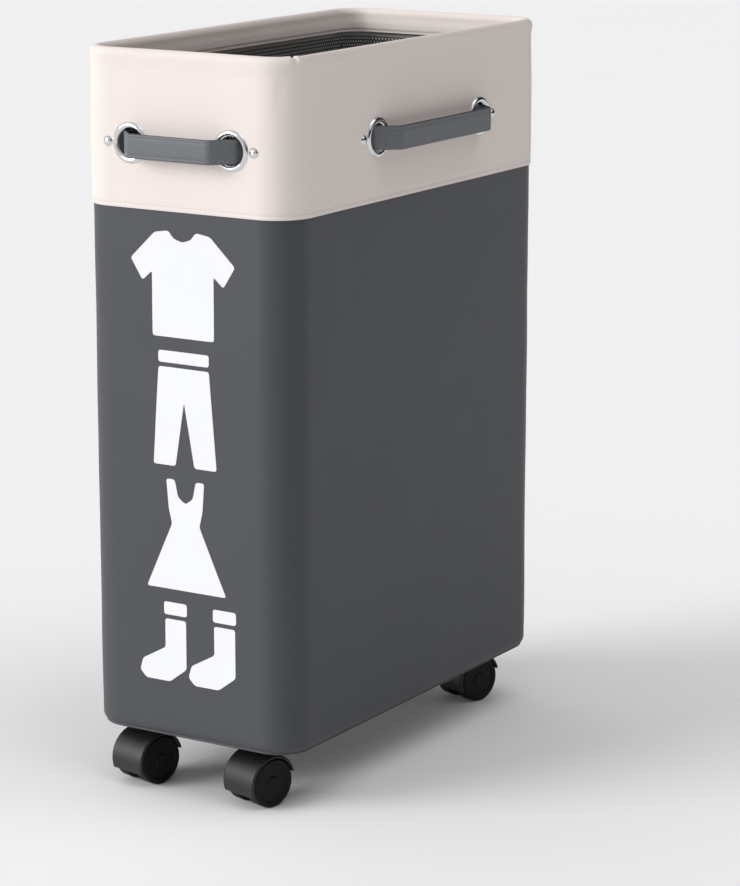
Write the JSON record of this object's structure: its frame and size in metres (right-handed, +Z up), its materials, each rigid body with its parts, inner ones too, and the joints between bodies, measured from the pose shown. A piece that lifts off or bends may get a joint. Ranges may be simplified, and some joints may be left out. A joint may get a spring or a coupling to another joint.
{
  "type": "slim rolling laundry hamper",
  "caption": "Slim upright laundry hamper with a stiffened fabric bag, a folded cuff over a wired rim, a mesh collar inside, strap handles and swivelling twin-wheel casters.",
  "frame": {"origin": "on the floor under the middle of the bag", "axes": "+Z up; X across the narrow way, with +X the right wide wall; the printed narrow wall faces -Y"},
  "size_m": [0.2344, 0.4344, 0.6],
  "materials": {
    "grey_cloth": "smooth fine weave, matt",
    "cream_cloth": "coated fine weave, matt",
    "lining_cloth": "thin coated lining, matt",
    "stiff_sheet": "plain",
    "wire_steel": "drawn wire",
    "black_mesh": "open knitted mesh",
    "binding_tape": "woven tape",
    "board_plastic": "plain",
    "chrome_metal": "polished",
    "plain_steel": "zinc plated",
    "strap_leather": "fine grain, stitched edges",
    "hood_plastic": "moulded satin",
    "wheel_plastic": "moulded satin"
  },
  "bodies": {
    "bag": {"base_board": "board_plastic", "bottom_fabric": "grey_cloth", "caster_stems": "plain_steel", "cuff_fabric": "cream_cloth", "eyelet_washers": "chrome_metal", "floor_insert": "lining_cloth", "handle_back_left_tab": "strap_leather", "handle_back_right_tab": "strap_leather", "handle_eyelets": "chrome_metal", "handle_front_left_tab": "strap_leather", "handle_front_right_tab": "strap_leather", "handle_left_left_tab": "strap_leather", "handle_left_right_tab": "strap_leather", "handle_right_left_tab": "strap_leather", "handle_right_right_tab": "strap_leather", "handle_rivets": "chrome_metal", "inner_lining": "lining_cloth", "mesh_binding": "cream_cloth", "mesh_cover": "black_mesh", "mesh_hem": "binding_tape", "rim_ferrule": "wire_steel", "rim_wire": "wire_steel", "rivet_backs": "chrome_metal", "stem_grip_rings": "plain_steel", "stem_washers": "plain_steel", "tee_nuts": "plain_steel", "wall_fabric": "grey_cloth", "wall_stiffener": "stiff_sheet"},
    "front_strap": {"handle_front": "strap_leather"},
    "back_strap": {"handle_back": "strap_leather"},
    "right_strap": {"handle_right": "strap_leather"},
    "left_strap": {"handle_left": "strap_leather"},
    "front_left_swivel": {"caster_hood_front_left": "hood_plastic", "caster_axle_front_left": "plain_steel"},
    "front_left_left_wheel": {"caster_wheel_front_left_left": "wheel_plastic"},
    "front_left_right_wheel": {"caster_wheel_front_left_right": "wheel_plastic"},
    "front_right_swivel": {"caster_hood_front_right": "hood_plastic", "caster_axle_front_right": "plain_steel"},
    "front_right_left_wheel": {"caster_wheel_front_right_left": "wheel_plastic"},
    "front_right_right_wheel": {"caster_wheel_front_right_right": "wheel_plastic"},
    "back_left_swivel": {"caster_hood_back_left": "hood_plastic", "caster_axle_back_left": "plain_steel"},
    "back_left_left_wheel": {"caster_wheel_back_left_left": "wheel_plastic"},
    "back_left_right_wheel": {"caster_wheel_back_left_right": "wheel_plastic"},
    "back_right_swivel": {"caster_hood_back_right": "hood_plastic", "caster_axle_back_right": "plain_steel"},
    "back_right_left_wheel": {"caster_wheel_back_right_left": "wheel_plastic"},
    "back_right_right_wheel": {"caster_wheel_back_right_right": "wheel_plastic"}
  },
  "joints": [
    {"name": "front_strap_tilt", "type": "hinge", "parent": "bag", "child": "front_strap", "pos_m": [0, -0.19735, 0.527], "axis": [-1, 0, 0], "range_deg": [-15, 15], "stiffness_Nm_per_rad": 0.2},
    {"name": "back_strap_tilt", "type": "hinge", "parent": "bag", "child": "back_strap", "pos_m": [0, 0.19735, 0.527], "axis": [1, 0, 0], "range_deg": [-15, 15], "stiffness_Nm_per_rad": 0.2},
    {"name": "right_strap_tilt", "type": "hinge", "parent": "bag", "child": "right_strap", "pos_m": [0.09735, 0.008, 0.527], "axis": [0, -1, 0], "range_deg": [-15, 15], "stiffness_Nm_per_rad": 0.2},
    {"name": "left_strap_tilt", "type": "hinge", "parent": "bag", "child": "left_strap", "pos_m": [-0.09735, 0.008, 0.527], "axis": [0, 1, 0], "range_deg": [-15, 15], "stiffness_Nm_per_rad": 0.2},
    {"name": "front_left_swivel_turn", "type": "hinge", "parent": "bag", "child": "front_left_swivel", "pos_m": [-0.055, -0.166, 0.04], "axis": [0, 0, 1], "continuous": true},
    {"name": "front_left_left_wheel_roll", "type": "hinge", "parent": "front_left_swivel", "child": "front_left_left_wheel", "pos_m": [-0.05725, -0.17574, 0.02], "axis": [0.9744, -0.225, 0], "continuous": true},
    {"name": "front_left_right_wheel_roll", "type": "hinge", "parent": "front_left_swivel", "child": "front_left_right_wheel", "pos_m": [-0.05725, -0.17574, 0.02], "axis": [0.9744, -0.225, 0], "continuous": true},
    {"name": "front_right_swivel_turn", "type": "hinge", "parent": "bag", "child": "front_right_swivel", "pos_m": [0.055, -0.166, 0.04], "axis": [0, 0, 1], "continuous": true},
    {"name": "front_right_left_wheel_roll", "type": "hinge", "parent": "front_right_swivel", "child": "front_right_left_wheel", "pos_m": [0.05241, -0.17566, 0.02], "axis": [0.9659, -0.2588, 0], "continuous": true},
    {"name": "front_right_right_wheel_roll", "type": "hinge", "parent": "front_right_swivel", "child": "front_right_right_wheel", "pos_m": [0.05241, -0.17566, 0.02], "axis": [0.9659, -0.2588, 0], "continuous": true},
    {"name": "back_left_swivel_turn", "type": "hinge", "parent": "bag", "child": "back_left_swivel", "pos_m": [-0.055, 0.166, 0.04], "axis": [0, 0, 1], "continuous": true},
    {"name": "back_left_left_wheel_roll", "type": "hinge", "parent": "back_left_swivel", "child": "back_left_left_wheel", "pos_m": [-0.05708, 0.15622, 0.02], "axis": [0.9781, -0.2079, 0], "continuous": true},
    {"name": "back_left_right_wheel_roll", "type": "hinge", "parent": "back_left_swivel", "child": "back_left_right_wheel", "pos_m": [-0.05708, 0.15622, 0.02], "axis": [0.9781, -0.2079, 0], "continuous": true},
    {"name": "back_right_swivel_turn", "type": "hinge", "parent": "bag", "child": "back_right_swivel", "pos_m": [0.055, 0.166, 0.04], "axis": [0, 0, 1], "continuous": true},
    {"name": "back_right_left_wheel_roll", "type": "hinge", "parent": "back_right_swivel", "child": "back_right_left_wheel", "pos_m": [0.05208, 0.15644, 0.02], "axis": [0.9563, -0.2924, 0], "continuous": true},
    {"name": "back_right_right_wheel_roll", "type": "hinge", "parent": "back_right_swivel", "child": "back_right_right_wheel", "pos_m": [0.05208, 0.15644, 0.02], "axis": [0.9563, -0.2924, 0], "continuous": true}
  ]
}
